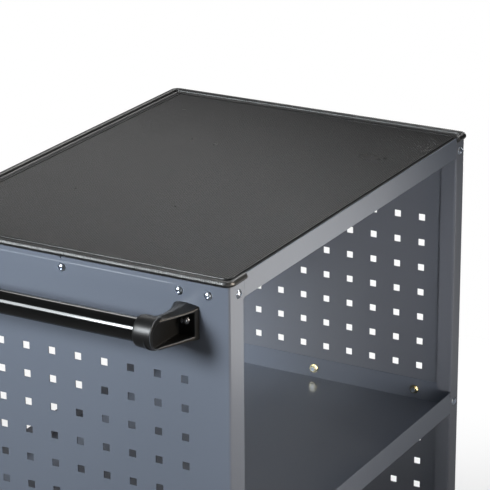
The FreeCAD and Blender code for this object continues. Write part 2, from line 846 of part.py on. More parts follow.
def wheel(axle_x):
    """The moulded wheel: hub, web with ribs, and rim."""
    rim_out = wheel_radius - tyre_depth
    rim_in = rim_out - rim_depth
    half_rim = tyre_width / 2
    half_hub = fork_inside / 2 - hub_end_gap
    bore = axle_tube_radius + running_gap
    web_in = hub_radius - past
    web_out = rim_in + past
    pieces = [
        ring(bore, hub_radius, half_hub, axle_x),
        ring(rim_in, rim_out, half_rim, axle_x),
        ring(web_in, web_out, web_thickness / 2, axle_x),
    ]
    centre = Vector(axle_x, 0, axle_level)
    half_rib = half_rim - rim_depth
    for index in range(rib_count):
        rib = block(
            axle_x + web_in,
            axle_x + web_out,
            -half_rib,
            half_rib,
            axle_level - rib_thickness / 2,
            axle_level + rib_thickness / 2,
        )
        rib.rotate(centre, Y_AXIS, 360 / rib_count * index)
        pieces.append(rib)
    return one_solid(pieces)


def tyre(axle_x):
    inner = wheel_radius - tyre_depth + tyre_seat_gap
    half = tyre_width / 2
    band = ring(inner, wheel_radius, half, axle_x)
    return soften(band, tyre_round, lambda edge: edge.BoundBox.ZLength > 2 * wheel_radius - near)


def brake_pedal():
    """The foot pedal between the fork legs. It tips down on its pin."""
    x = -pedal_pivot_back
    half = pedal_width / 2
    eye = rod(pedal_eye_radius, Vector(x, -half, pedal_level), Y_AXIS, pedal_width)
    pad_start = -pedal_pad_start
    pad_end = -pedal_pad_end
    top = pedal_level + pedal_arm_thickness / 2
    arm = prism(
        [
            Vector(x, -half, top),
            Vector(pad_start, -half, top),
            Vector(pad_start, -half, top - pedal_arm_thickness),
            Vector(x, -half, top - pedal_arm_thickness),
        ],
        Vector(0, pedal_width, 0),
    )
    half_pad = pedal_pad_width / 2
    pad = prism(
        [
            Vector(pad_start + pedal_pad_lap, -half_pad, top),
            Vector(pad_end, -half_pad, top - pedal_pad_fall),
            Vector(pad_end, -half_pad, top - pedal_pad_fall - pedal_pad_thickness),
            Vector(pad_start + pedal_pad_lap, -half_pad, top - pedal_pad_thickness),
        ],
        Vector(0, pedal_pad_width, 0),
    )
    bore_start = Vector(x, -half - past, pedal_level)
    bore = rod(pedal_pin_radius + running_gap, bore_start, Y_AXIS, pedal_width + 2 * past)
    pedal = one_solid([eye, arm, pad]).cut(bore).Solids[0]

    def is_pad_corner(edge):
        middle = edge.CenterOfMass
        return abs(middle.x - pad_end) < near and abs(abs(middle.y) - half_pad) < near

    return soften(pedal, pedal_pad_corner, is_pad_corner)


def pedal_pin():
    start = Vector(-pedal_pivot_back, -fork_half - pedal_pin_head, pedal_level)
    return rod(pedal_pin_radius, start, Y_AXIS, 2 * (fork_half + pedal_pin_head))


def standing_at(shape, x, y):
    """A caster piece moved from its own plate to the plate's place under the cart."""
    moved = shape.copy()
    moved.translate(Vector(x, y, caster_height))
    return moved


def caster_bolt(x, y):
    under = Vector(x, y, caster_height - plate_sheet)
    head = hexagon(bolt_flats, under - Z_AXIS * bolt_head_height, Z_AXIS, bolt_head_height)
    clamped = plate_sheet + underframe_sheet + shelf_sheet
    shank = rod(bolt_radius, under, Z_AXIS, clamped + bolt_nut_height + bolt_tail)
    return one_solid([head, shank])


def caster_nut(x, y):
    seat = Vector(x, y, bottom_floor_under + shelf_sheet)
    body = hexagon(bolt_flats, seat, Z_AXIS, bolt_nut_height)
    bore = rod(bolt_radius + running_gap, seat - Z_AXIS * past, Z_AXIS, bolt_nut_height + 2 * past)
    return body.cut(bore).Solids[0]


# Sheet metal
left_panel = side_panel(left_post_width, left_post_screw_inset)
right_panel = side_panel(right_post_width, right_post_screw_inset)
save("left_side_panel", [drill_handle_holes(left_panel)])
save("right_side_panel", [flip_x(right_panel)])
save("top_tray", [top_tray()])
save("front_rail", [front_rail()])
save("rear_rail", [rear_rail()])
save("top_mat", [top_mat()])
save("middle_shelf", [tray_shelf(middle_rim_top, [])])
bolt_places = []
for end in (-1, 1):
    for name, x, y in caster_places(end):
        bolt_places += plate_holes(x, y)
save("bottom_shelf", [tray_shelf(bottom_rim_top, bolt_places)])
save("left_underframe_plate", [underframe_plate(-1)])
save("right_underframe_plate", [underframe_plate(1)])

# Screws and nuts of the body
tray_screws, tray_nuts = end_fasteners([(screw_level, y) for y in side_screw_places], sheet)
save("tray_screws", tray_screws)
save("tray_nuts", tray_nuts)
shelf_points = [(level, y) for level in shelf_bolt_levels for y in shelf_bolt_places]
shelf_screws, shelf_nuts = end_fasteners(shelf_points, shelf_sheet)
save("shelf_screws", shelf_screws)
save("shelf_nuts", shelf_nuts)
post_screws, post_nuts = post_fasteners()
save("post_screws", post_screws)
save("post_nuts", post_nuts)

# Push handle
bracket = handle_bracket()
save("handle_bracket_front", [bracket])
save("handle_bracket_rear", [flip_y(bracket)])
save("handle_tube", [handle_tube()])
save("handle_screws", [handle_screw(side) for side in (-1, 1)])
save("handle_nuts", [handle_nut(side) for side in (-1, 1)])

# Casters: two braked swivels at the handle end and two fixed ones at the other
save("caster_bolts", [caster_bolt(x, y) for x, y in bolt_places])
save("caster_nuts", [caster_nut(x, y) for x, y in bolt_places])
for name, x, y in caster_places(-1):
    pieces = {
        "plate": swivel_plate(),
        "race": swivel_race(),
        "kingpin": kingpin(),
        "fork": swivel_fork(),
        "axle_bolt": axle_bolt(-caster_trail),
        "axle_nut": axle_nut(-caster_trail),
        "axle_tube": axle_tube(-caster_trail),
        "wheel": wheel(-caster_trail),
        "tyre": tyre(-caster_trail),
        "brake_pedal": brake_pedal(),
        "pedal_pin": pedal_pin(),
    }
    for piece, shape in pieces.items():
        save(name + "_swivel_" + piece, [standing_at(shape, x, y)])
for name, x, y in caster_places(1):
    pieces = {
        "bracket": fixed_bracket(),
        "axle_bolt": axle_bolt(0),
        "axle_nut": axle_nut(0),
        "axle_tube": axle_tube(0),
        "wheel": wheel(0),
        "tyre": tyre(0),
    }
    for piece, shape in pieces.items():
        save(name + "_fixed_" + piece, [standing_at(shape, x, y)])
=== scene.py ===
# %% [markdown]
# A service cart, dressed around its CAD frame
#
# The cart is folded sheet steel under a blue-grey powder coat, with a ribbed rubber mat on
# top, a black push handle and four casters. The construction comes packed from CAD and stays
# as it is. Blender gives every surface its finish, and models what CAD only holds as a plain
# solid: the mat with its ribs and bead, and the two moulded brackets of the handle.

# %% Load the fixed frame
import json
import math

import bpy
from mathutils import Matrix, Vector


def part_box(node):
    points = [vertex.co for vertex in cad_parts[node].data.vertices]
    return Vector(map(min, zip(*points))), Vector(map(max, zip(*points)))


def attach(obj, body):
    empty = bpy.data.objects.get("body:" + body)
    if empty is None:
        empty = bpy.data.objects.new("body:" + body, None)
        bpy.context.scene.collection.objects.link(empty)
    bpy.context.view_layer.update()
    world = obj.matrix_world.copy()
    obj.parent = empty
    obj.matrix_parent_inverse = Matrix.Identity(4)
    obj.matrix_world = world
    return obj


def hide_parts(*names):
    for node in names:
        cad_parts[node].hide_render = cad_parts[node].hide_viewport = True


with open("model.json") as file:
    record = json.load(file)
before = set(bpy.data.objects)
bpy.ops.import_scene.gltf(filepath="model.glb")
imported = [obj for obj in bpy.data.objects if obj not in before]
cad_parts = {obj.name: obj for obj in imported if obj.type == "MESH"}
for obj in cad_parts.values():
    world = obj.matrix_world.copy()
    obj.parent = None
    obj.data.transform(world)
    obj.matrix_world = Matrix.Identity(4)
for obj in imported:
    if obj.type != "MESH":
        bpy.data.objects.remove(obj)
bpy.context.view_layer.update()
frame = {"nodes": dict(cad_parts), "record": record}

nodes = frame["nodes"]
MM = 0.001

# %% [markdown]
# Planes to build from
#
# A piece made here has to sit on what carries it on the real cart. Its place could be typed
# in, but then it would float as soon as the CAD changed. So the planes of the sheet metal are
# read from the frame: the two end panels, the front, the back and the rail's top.

# %% Planes of the sheet metal
left_low, left_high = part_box("left_side_panel")
right_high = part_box("right_side_panel")[1]
rail_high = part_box("front_rail")[1]
LEFT = left_low.x
RIGHT = right_high.x
FRONT = left_low.y
BACK = left_high.y
RAIL_TOP = rail_high.z
TRAY_TOP = left_high.z
print("cart body", round(RIGHT - LEFT, 4), round(BACK - FRONT, 4), "rail top", round(RAIL_TOP, 4))

# %% [markdown]
# Shader maths as Python
#
# A procedural finish is a formula over the surface. It could be clicked together node by node,
# but that hides the formula. So a small class wraps a socket, and Python's own operators add
# the Math nodes. One method makes any other node, and it sets the node's own settings before
# its sockets, because a setting can change which sockets there are.


# %% A value that changes over a surface
class Value:
    """One output of a node in a finish. Arithmetic on it adds Math nodes."""

    def __init__(self, finish, socket):
        self.finish = finish
        self.socket = socket

    def math(self, operation, first, second=0.0):
        return self.finish.node("ShaderNodeMath", {"operation": operation}, {0: first, 1: second})

    def __add__(self, other):
        return self.math("ADD", self, other)

    def __radd__(self, other):
        return self.math("ADD", other, self)

    def __sub__(self, other):
        return self.math("SUBTRACT", self, other)

    def __rsub__(self, other):
        return self.math("SUBTRACT", other, self)

    def __mul__(self, other):
        return self.math("MULTIPLY", self, other)

    def __rmul__(self, other):
        return self.math("MULTIPLY", other, self)

    def __truediv__(self, other):
        return self.math("DIVIDE", self, other)

    def __pow__(self, other):
        return self.math("POWER", self, other)

    def absolute(self):
        return self.math("ABSOLUTE", self)

    def between(self, low, high):
        """0 below low, 1 above high, and a smooth rise between them."""
        return self.finish.node(
            "ShaderNodeMapRange",
            {"interpolation_type": "SMOOTHSTEP"},
            {"Value": self, "From Min": low, "From Max": high},
        )


# %% One method makes any other node
MIX_FIRST_COLOUR = 6
MIX_SECOND_COLOUR = 7
MIX_RESULT_COLOUR = 2


class Finish:
    """A material, or the world, built node by node."""

    def __init__(self, tree):
        self.tree = tree
        self.tree.nodes.clear()

    def node(self, kind, settings=None, inputs=None, output=0):
        """Any node: its own settings first, then the value or the link of each socket."""
        made = self.tree.nodes.new(kind)
        for name, value in (settings or {}).items():
            setattr(made, name, value)
        for name, value in (inputs or {}).items():
            if isinstance(value, Value):
                self.tree.links.new(value.socket, made.inputs[name])
            else:
                made.inputs[name].default_value = value
        return Value(self, made.outputs[output]) if made.outputs else None

    def place(self):
        """The point on the object, in metres, in the object's own space."""
        return self.node("ShaderNodeTexCoord", {}, {}, "Object")

    def axes(self, vector):
        split = self.node("ShaderNodeSeparateXYZ", {}, {0: vector})
        outputs = split.socket.node.outputs
        return [Value(self, outputs[index]) for index in range(3)]

    def rays(self, *kinds):
        """One mask for each kind of ray, such as Is Camera Ray."""
        path = self.node("ShaderNodeLightPath")
        outputs = path.socket.node.outputs
        return [Value(self, outputs[kind]) for kind in kinds]

    def noise(self, scale, detail=2.0, roughness=0.5, vector=None):
        source = vector or self.place()
        inputs = {"Vector": source, "Scale": scale, "Detail": detail, "Roughness": roughness}
        return self.node("ShaderNodeTexNoise", {}, inputs)

    def mix(self, factor, first, second):
        """A blend of two colours."""
        inputs = {
            "Factor": factor,
            MIX_FIRST_COLOUR: self.colour(first),
            MIX_SECOND_COLOUR: self.colour(second),
        }
        return self.node("ShaderNodeMix", {"data_type": "RGBA"}, inputs, MIX_RESULT_COLOUR)

    def colour(self, value):
        return value if isinstance(value, Value) else (*value, 1.0)

    def bump(self, height, distance, strength=1.0, normal=None):
        inputs = {"Height": height, "Distance": distance, "Strength": strength}
        if normal is not None:
            inputs["Normal"] = normal
        return self.node("ShaderNodeBump", {}, inputs)

    def surface(self, inputs):
        shader = self.node("ShaderNodeBsdfPrincipled", {}, inputs)
        self.node("ShaderNodeOutputMaterial", {}, {"Surface": shader})


def material(name):
    made = bpy.data.materials.new(name)
    made.use_nodes = True
    return made, Finish(made.node_tree)


def scaled(colour, shares):
    return tuple(channel * share for channel, share in zip(colour, shares))


# %% [markdown]
# The powder coat
#
# Powder coat is thick paint that melts in an oven. It is satin, and never quite flat: fine
# orange peel, about a millimetre across, breaks up the reflections. The folded sheet under it
# also waves a little, which bends the larger reflections. A single roughness would look like
# plastic, so noise of four sizes gives the cloudy colour, the wave, the peel and the gloss.
#
# The handle's end panel steps in by half a millimetre below the mat, and the step fades out
# towards both posts. It shows as one soft light line. Modelling it would mean a new mesh for
# the whole perforated panel, so it is a height formula that feeds the bump. The far panel's
# coat is a lighter and warmer copy, a painted lift that stands in for the light inside the bay,
# so a coat can be given a tint.


# %% Powder coat
PAINT = (0.143, 0.163, 0.204)
PAINT_LIGHT = (0.157, 0.178, 0.221)
# Painted light: the far panel's tint makes its coat lighter and warmer, standing in for the light
# inside the bay.
FAR_PAINTED_LIGHT_TINT = (1.10, 1.04, 0.98)
PLAIN_TINT = (1.0, 1.0, 1.0)
PEEL_DEPTH = 0.12 * MM
WAVE_DEPTH = 4.0 * MM
CREASE_DROP = 13 * MM
CREASE_HALF = 1.5 * MM
CREASE_DEPTH = -0.6 * MM
CREASE_POST = 45 * MM
CREASE_FADE = (0.75, 1.05)


def crease(finish):
    """Height of the end panel's outside: a soft step below the bead, faded out at the posts."""
    across, up = finish.axes(finish.place())[1:]
    middle = (FRONT + BACK) / 2
    reach = (BACK - FRONT) / 2 - CREASE_POST
    inner = 1.0 - ((across - middle).absolute() / reach).between(*CREASE_FADE)
    step = (up - (RAIL_TOP - CREASE_DROP)).between(-CREASE_HALF, CREASE_HALF)
    return inner * step


def powder_coat(name, tint=PLAIN_TINT, creased=False):
    made, finish = material(name)
    cloud = finish.noise(3.5, 3.0)
    fine = finish.noise(900.0, 1.0)
    peel = finish.noise(420.0, 2.0)
    wave = finish.noise(4.2, 1.0)
    soft = finish.bump(wave, WAVE_DEPTH, 0.35)
    if creased:
        soft = finish.bump(crease(finish), CREASE_DEPTH, 1.0, soft)
    finish.surface(
        {
            "Base Color": finish.mix(cloud, scaled(PAINT, tint), scaled(PAINT_LIGHT, tint)),
            "Roughness": 0.21 + 0.05 * fine,
            "Specular IOR Level": 0.5,
            "Normal": finish.bump(peel, PEEL_DEPTH, 0.5, soft),
        }
    )
    print(name, "has", len(made.node_tree.nodes), "nodes")
    return made


body_paint = powder_coat("body_paint")
# The far panel's coat is the lighter, warmer copy: painted light for the inside of the bay.
far_paint_painted_light = powder_coat("body_paint_far_painted_light", FAR_PAINTED_LIGHT_TINT)
left_paint = powder_coat("body_paint_left", PLAIN_TINT, True)

# %% [markdown]
# Rubber, plastic and the gloss tube
#
# The mat is moulded rubber with a faint bloom, and its bead is glossier from being rubbed. The
# brackets are glass-filled nylon, which has a fine grain. Along their sharp edges the colour is
# lightened to grey: a painted highlight for the bright rim lines, with some polish wear. The
# tube is coated steel with a deep gloss, so only its highlights show. One black could serve
# them all, but blacks differ by how they shine, so each gets its own gloss. The lightened
# edges are found by Pointiness, which measures how sharply a mesh turns outwards.


# %% Blacks
GRAIN_DEPTH = 0.04 * MM
TUBE_PEEL_DEPTH = 0.03 * MM
# Painted highlight with some polish wear: the Pointiness range of sharp edges, and the grey they
# are lightened to.
EDGE_SHEEN_AND_WEAR = (0.515, 0.57)  # Pointiness of a flat face is 0.5
EDGE_SHEEN_AND_WEAR_GREY = (0.13, 0.155, 0.19)
BLOOM_DARKENS = 0.8
CLOUD_LIGHTENS = 1.25


def black_rubber(name, colour, roughness, gloss=0.38):
    made, finish = material(name)
    grain = finish.noise(2600.0, 2.0)
    bloom = finish.noise(16.0, 4.0)
    dark = scaled(colour, (BLOOM_DARKENS,) * 3)
    finish.surface(
        {
            "Base Color": finish.mix(bloom, dark, colour),
            "Roughness": roughness + 0.08 * bloom,
            "Specular IOR Level": gloss,
            "Normal": finish.bump(grain, GRAIN_DEPTH, 0.4),
        }
    )
    return made


def moulded_plastic(name, colour, roughness, grain_depth, sheen_and_wear=None):
    """Grained plastic. Where an edge colour is given, sharp outer edges are lightened to it: a
    painted highlight for the rim lines, with some polish wear.
    """
    made, finish = material(name)
    grain = finish.noise(1500.0, 3.0, 0.6)
    cloud = finish.noise(30.0, 2.0)
    body = finish.mix(cloud, colour, scaled(colour, (CLOUD_LIGHTENS,) * 3))
    # Painted highlight: sharp outer edges are lightened towards a grey to draw bright rim lines,
    # partly as polish wear.
    if sheen_and_wear:
        edge = finish.node("ShaderNodeNewGeometry", {}, {}, "Pointiness").between(*EDGE_SHEEN_AND_WEAR)
        body = finish.mix(edge, body, sheen_and_wear)
    finish.surface(
        {
            "Base Color": body,
            "Roughness": roughness + 0.07 * grain,
            "Normal": finish.bump(grain, grain_depth, 0.5),
        }
    )
    return made


def gloss_black(name):
    made, finish = material(name)
    peel = finish.noise(260.0, 1.0)
    smear = finish.noise(22.0, 3.0)
    finish.surface(
        {
            "Base Color": finish.mix(smear, (0.003, 0.003, 0.003), (0.006, 0.006, 0.006)),
            "Roughness": 0.09 + 0.04 * smear,
            "Specular IOR Level": 0.42,
            "Normal": finish.bump(peel, TUBE_PEEL_DEPTH, 0.5),
        }
    )
    return made


BLACK_NYLON = (0.005, 0.005, 0.005)
mat_rubber = black_rubber("mat_rubber", (0.012, 0.012, 0.012), 0.25)
bead_rubber = black_rubber("bead_rubber", (0.010, 0.010, 0.010), 0.34, 1.0)
tyre_rubber = black_rubber("tyre_rubber", (0.035, 0.035, 0.036), 0.62)
bracket_plastic = moulded_plastic("bracket_plastic", BLACK_NYLON, 0.36, 0.05 * MM, EDGE_SHEEN_AND_WEAR_GREY)
wheel_plastic = moulded_plastic("wheel_plastic", (0.16, 0.165, 0.17), 0.45, 0.08 * MM)
pedal_plastic = moulded_plastic("pedal_plastic", (0.02, 0.02, 0.021), 0.42, 0.08 * MM)
handle_black = gloss_black("handle_black")
print("materials so far", len(bpy.data.materials))

# %% [markdown]
# Zinc
#
# Zinc plate on a small screw is bright with a faint blue cast, and on some nuts it is
# passivated yellow. On the pressed steel of a caster it is duller, with soft streaks along the
# rolled sheet. A plain grey metal would look like a mirror, so two tones are mixed in patches.
# The patches stretch when the noise is read at a smaller scale across than up.


# %% Zinc
ZINC_DEPTH = 0.02 * MM


def zinc_plate(name, bright, dull, roughness, streak):
    made, finish = material(name)
    stretched = finish.node(
        "ShaderNodeVectorMath",
        {"operation": "MULTIPLY"},
        {0: finish.place(), 1: (streak, streak, 1.0)},
    )
    patches = finish.noise(260.0, 4.0, 0.6, stretched)
    fine = finish.noise(1400.0, 2.0)
    finish.surface(
        {
            "Base Color": finish.mix(patches, dull, bright),
            "Metallic": 1.0,
            "Roughness": roughness + 0.12 * patches,
            "Normal": finish.bump(fine, ZINC_DEPTH, 0.4),
        }
    )
    return made


zinc_bright = zinc_plate("zinc_bright", (0.74, 0.80, 0.90), (0.54, 0.60, 0.70), 0.24, 1.0)
zinc_yellow = zinc_plate("zinc_yellow", (0.72, 0.66, 0.46), (0.46, 0.40, 0.26), 0.16, 1.0)
zinc_dark = zinc_plate("zinc_dark", (0.40, 0.41, 0.43), (0.26, 0.27, 0.29), 0.18, 1.0)
caster_steel = zinc_plate("caster_steel", (0.82, 0.83, 0.85), (0.64, 0.66, 0.69), 0.38, 0.25)
print("materials so far", len(bpy.data.materials))

# %% [markdown]
# Dressing the CAD nodes
#
# The record says which material slot each node takes. Each node could be named here, but one
# table turns the slots into the finishes above and can miss none. Three nodes then get a
# finish of their own: the two end panels, and the handle's screws, which look darker.

# %% Finishes by slot
finishes = {
    "body_paint": body_paint,
    "mat_rubber": mat_rubber,
    "handle_black": handle_black,
    "bracket_plastic": bracket_plastic,
    "zinc_bright": zinc_bright,
    "zinc_yellow": zinc_yellow,
    "caster_steel": caster_steel,
    "wheel_core": wheel_plastic,
    "tyre": tyre_rubber,
    "pedal_plastic": pedal_plastic,
}


def dress(piece, finish):
    piece.data.materials.clear()
    piece.data.materials.append(finish)


for part in frame["record"]["subparts"]:
    dress(nodes[part["node"]], finishes[part["material_slot"]])
# The far panel gets the lightened copy of the coat, painted light for the inside of the bay.
dress(nodes["right_side_panel"], far_paint_painted_light)
dress(nodes["left_side_panel"], left_paint)
dress(nodes["handle_screws"], zinc_dark)

# %% [markdown]
# Mesh helpers
#
# Beads, ridges and mouldings are sections joined along a path. A curve with a bevel could
# make them, but its section is the same all along, and these ones change. So a sweep joins
# rings of points, and caps both ends, so that every piece is a clean closed solid.


# %% Sweeps and joined shells
def shell(points, faces):
    """Vertices and faces of one closed shell, as plain lists."""
    return [tuple(point) for point in points], [tuple(face) for face in faces]


def sweep(sections):
    """Closed rings of equal length joined along their order, with both ends capped."""
    count = len(sections[0])
    points = [point for section in sections for point in section]
    faces = []
    for row in range(len(sections) - 1):
        low = row * count
        for side in range(count):
            after = (side + 1) % count
            faces.append((low + side, low + after, low + count + after, low + count + side))
    faces.append(tuple(reversed(range(count))))
    faces.append(tuple(range(len(points) - count, len(points))))
    return shell(points, faces)


def place_in_scene(name, data):
    """An object for a mesh, a lamp or a camera."""
    made = bpy.data.objects.new(name, data)
    bpy.context.scene.collection.objects.link(made)
    return made


def make_piece(name, shells, finish, smooth_angle=40.0):
    """One object from closed shells, with its normals outwards and its soft edges smooth."""
    points = []
    faces = []
    for part_points, part_faces in shells:
        first = len(points)
        points += part_points
        faces += [tuple(first + index for index in face) for face in part_faces]
    mesh = bpy.data.meshes.new(name)
    mesh.from_pydata(points, [], faces)
    mesh.validate()
    piece = place_in_scene(name, mesh)
    bpy.context.view_layer.objects.active = piece
    piece.select_set(True)
    bpy.ops.object.mode_set(mode="EDIT")
    bpy.ops.mesh.select_all(action="SELECT")
    bpy.ops.mesh.normals_make_consistent(inside=False)
    bpy.ops.object.mode_set(mode="OBJECT")
    bpy.ops.object.shade_smooth_by_angle(angle=math.radians(smooth_angle))
    piece.select_set(False)
    dress(piece, finish)
    return piece


# %% [markdown]
# The ribbed mat
#
# The mat is rubber. Fine ribs run along the cart. A round bead hooks over the end panels and
# the back, with a groove and a thin ridge inside it, and its two ends return a little way
# along the front. The ribs and the bead could be a bump, but the light rakes over them and
# the bead is the cart's outline, so all of it is modelled. The left return is longer than the
# right one, because it covers the wider post.

# %% Sizes of the bead
BEAD_RADIUS = 4.2 * MM
BEAD_OUT = 0.7 * MM
BEAD_LEVEL = RAIL_TOP - 1.7 * MM
BEAD_CORNER = 9.0 * MM
BEAD_SEAT_LAP = 0.1 * MM
BEAD_FACE = (0.0, 52.0)  # the pressed arc, in degrees up from straight out
BEAD_FLAT = 0.75  # 0 keeps that arc round, 1 makes it a chord
BEAD_STEPS = 30
BEAD_JOIN = math.pi - math.asin(0.12)  # where the round runs into the groove
BEAD_CAP = 3.2 * MM
BEAD_CAP_SIZE = 0.45
BEAD_WAVE = 0.60 * MM
BEAD_WAVE_FOOT = -2.2 * MM
BEAD_WAVE_RIM = 0.9 * BEAD_RADIUS
CORNER_FADE = 8  # the higher, the sooner the waves die out round a corner
RETURN_LEFT = 38.0 * MM
RETURN_RIGHT = 26.5 * MM

# %% Sizes of ribs, groove and ridge
SHEET = 1.5 * MM
RIB_PITCH = 3.0 * MM
RIB_TOP = RAIL_TOP - 0.8 * MM
RIB_DEPTH = 1.1 * MM
RIB_ROUND = 0.7  # below 1 a crest is broad and a valley is narrow
GROOVE = RAIL_TOP - 2.6 * MM
GROOVE_SLOPE = ((4.9 * MM, 0.35), (5.6 * MM, 0.8), (6.4 * MM, 1.0))  # inwards, share of depth
RIDGE_IN = 14.6 * MM
RIDGE_FRONT = 7.2 * MM
RIDGE_CORNER = 8.0 * MM
RIDGE_HALF = 1.4 * MM
RIDGE_PROUD = 0.5 * MM
RIDGE_SINK = 0.5 * MM
RIDGE_ROUND = 0.8
RIDGE_STEP = 6 * MM
RIDGE_ARC_STEPS = 8
RIDGE_SWING = 2.6 * MM
RIDGE_THINNING = 0.75
RIDGE_TIP_LEFT = 18 * MM
RIDGE_TIP_RIGHT = 12 * MM
FIELD_IN = 16.6 * MM
FIELD_FRONT = 7.5 * MM
FIELD_CORNER = 7.0 * MM
FIELD_SINK = 0.4 * MM
STEPS_PER_RIB = 8
FIELD_COLUMNS = 24
SOLE_IN = 5.0 * MM
SOLE_CORNER = 4 * MM
SOLE_TONGUE = 2 * MM
SOLE_GAP = 0.2 * MM
print("ribs rise", round((RIB_TOP - GROOVE) / MM, 2), "mm above the groove")

# %% [markdown]
# The border's path
#
# Bead and ridge follow one border at two distances: along the left return, round the front
# left corner, down the handle's side, along the back, and round again to the right return. The
# corners are quarter turns. Each point keeps the direction that faces out of the cart, so that
# a section can be set square to the path. The sides take short steps, because the bead's
# waves have to fit between the points, and the back takes long ones.

# %% The border's path, as points with their outward direction
CORNER_STEPS = 12
RETURN_STEP = 2 * MM
BACK_STEP = 20 * MM
TO_FRONT = Vector((0, -1, 0))
TO_LEFT = Vector((-1, 0, 0))
TO_BACK = Vector((0, 1, 0))
TO_RIGHT = Vector((1, 0, 0))


def corner_points(centre_x, centre_y, radius, start_angle):
    """A quarter turn, clockwise seen from above, from a start angle in degrees."""
    made = []
    for step in range(CORNER_STEPS + 1):
        angle = math.radians(start_angle - 90.0 * step / CORNER_STEPS)
        out = Vector((math.cos(angle), math.sin(angle), 0.0))
        made.append((Vector((centre_x, centre_y, 0.0)) + out * radius, out))
    return made


def straight_points(start, end, out, step):
    """Points between a start and an end, without the two themselves."""
    start = Vector((*start, 0))
    end = Vector((*end, 0))
    count = max(1, round((end - start).length / step))
    return [(start.lerp(end, index / count), out) for index in range(1, count)]


def border_path(inset, front_inset, radius, side_step):
    """Points inside the outer planes: from the left front end round to the right one."""
    x0, x1 = LEFT + inset, RIGHT - inset
    y0, y1 = FRONT + front_inset, BACK - inset
    left_end = (LEFT + RETURN_LEFT, y0)
    right_end = (RIGHT - RETURN_RIGHT, y0)
    low_x, high_x = x0 + radius, x1 - radius
    low_y, high_y = y0 + radius, y1 - radius
    points = [(Vector((*left_end, 0)), TO_FRONT)]
    points += straight_points(left_end, (low_x, y0), TO_FRONT, RETURN_STEP)
    points += corner_points(low_x, low_y, radius, 270)
    points += straight_points((x0, low_y), (x0, high_y), TO_LEFT, side_step)
    points += corner_points(low_x, high_y, radius, 180)
    points += straight_points((low_x, y1), (high_x, y1), TO_BACK, BACK_STEP)
    points += corner_points(high_x, high_y, radius, 90)
    points += straight_points((x1, high_y), (x1, low_y), TO_RIGHT, side_step)
    points += corner_points(high_x, low_y, radius, 0)
    points += straight_points((high_x, y0), right_end, TO_FRONT, RETURN_STEP)
    points.append((Vector((*right_end, 0)), TO_FRONT))
    return points


bead_line = border_path(-BEAD_OUT, -BEAD_OUT, BEAD_CORNER, RIB_PITCH / 6)
print("bead path", len(bead_line), "points")

# %% [markdown]
# The bead
#
# On the real mat the bead is a round lip, pressed a little flat where it faces out and up,
# and it hooks over the edge of the sheet metal. On the cart's two ends the ribs run out over
# it as faint waves. A tube of one radius would miss the flat, the groove inside and the
# waves, so the section is drawn once, and each ring along the path grows or shrinks it.


# %% The bead's section: round outside, flat where it lies on the sheet metal
def bead_radius(angle):
    """The bead's round, pressed a little flat on the side that faces out and up."""
    low, high = BEAD_FACE
    if not low < angle < high:
        return BEAD_RADIUS
    half = math.radians((high - low) / 2)
    off = math.radians(angle - (low + high) / 2)
    chord = math.cos(half) / math.cos(off)
    return BEAD_RADIUS * (1 - BEAD_FLAT * (1 - chord))


def bead_section():
    """Outward distance and height about the bead's middle, as a closed outline."""
    seat = -(BEAD_OUT - BEAD_SEAT_LAP)
    tray = TRAY_TOP - BEAD_LEVEL
    foot = -math.acos(seat / BEAD_RADIUS)
    groove = GROOVE - BEAD_LEVEL
    outline = [(seat, tray)]
    for step in range(BEAD_STEPS + 1):
        angle = foot + (BEAD_JOIN - foot) * step / BEAD_STEPS
        radius = bead_radius(math.degrees(angle))
        outline.append((radius * math.cos(angle), radius * math.sin(angle)))
    outline += [(-inward, groove * share) for inward, share in GROOVE_SLOPE]
    outline.append((-GROOVE_SLOPE[-1][0], tray))
    return outline


# %% Rings along the path: waves on the cart's ends, and a round cap at each end of the bead
def rib_profile(phase):
    """0 in the valley between two ribs and 1 on the crest. One rib is a phase of 1."""
    return abs(math.sin(math.pi * phase)) ** RIB_ROUND


def bead_ring(outline, point, out, shrink):
    """The section at one point of the path, shrunk for the cap and waved by the ribs."""
    on_side = abs(out.x) ** CORNER_FADE
    wave = BEAD_WAVE * on_side * (rib_profile((point.y - FRONT) / RIB_PITCH) - 1)
    ring = []
    for distance, height in outline:
        reach = math.hypot(distance, height)
        waved = reach > BEAD_WAVE_RIM and height > BEAD_WAVE_FOOT
        grow = wave / reach if waved else 0.0
        spread = distance * shrink * (1 + grow)
        rise = height * (shrink if height > 0 else 1.0) * (1 + grow)
        ring.append(point + out * spread + Vector((0, 0, BEAD_LEVEL + rise)))
    return ring


def bead_shell():
    outline = bead_section()
    travelled = [0.0]
    for (before, _), (here, _) in zip(bead_line, bead_line[1:]):
        travelled.append(travelled[-1] + (here - before).length)
    sections = []
    for (point, out), along in zip(bead_line, travelled):
        nearest = min(along, travelled[-1] - along)
        close = min(1.0, nearest / BEAD_CAP)
        shrink = BEAD_CAP_SIZE + (1 - BEAD_CAP_SIZE) * math.sqrt(1 - (1 - close) ** 2)
        sections.append(bead_ring(outline, point, out, shrink))
    print("bead is", round(travelled[-1], 3), "m long")
    return sweep(sections)


# %% [markdown]
# The ridge
#
# The ridge is a half round that follows the bead on the far side of the groove. On the front
# returns it swings out towards the rail and ends in a point, so each ring asks how close it
# is to a tip, and gets thinner and moves over by that share.


# %% The ridge inside the bead
def ridge_taper(point):
    """0 along the ridge, and a rise to 1 at the tip of each front return."""
    on_front = point.y < FRONT + RIDGE_FRONT + 0.1 * MM
    if not on_front:
        return 0.0
    if point.x < 0:
        share = (LEFT + RETURN_LEFT - point.x) / RIDGE_TIP_LEFT
    else:
        share = (point.x - RIGHT + RETURN_RIGHT) / RIDGE_TIP_RIGHT
    return min(1.0, max(0.0, 1 - share))


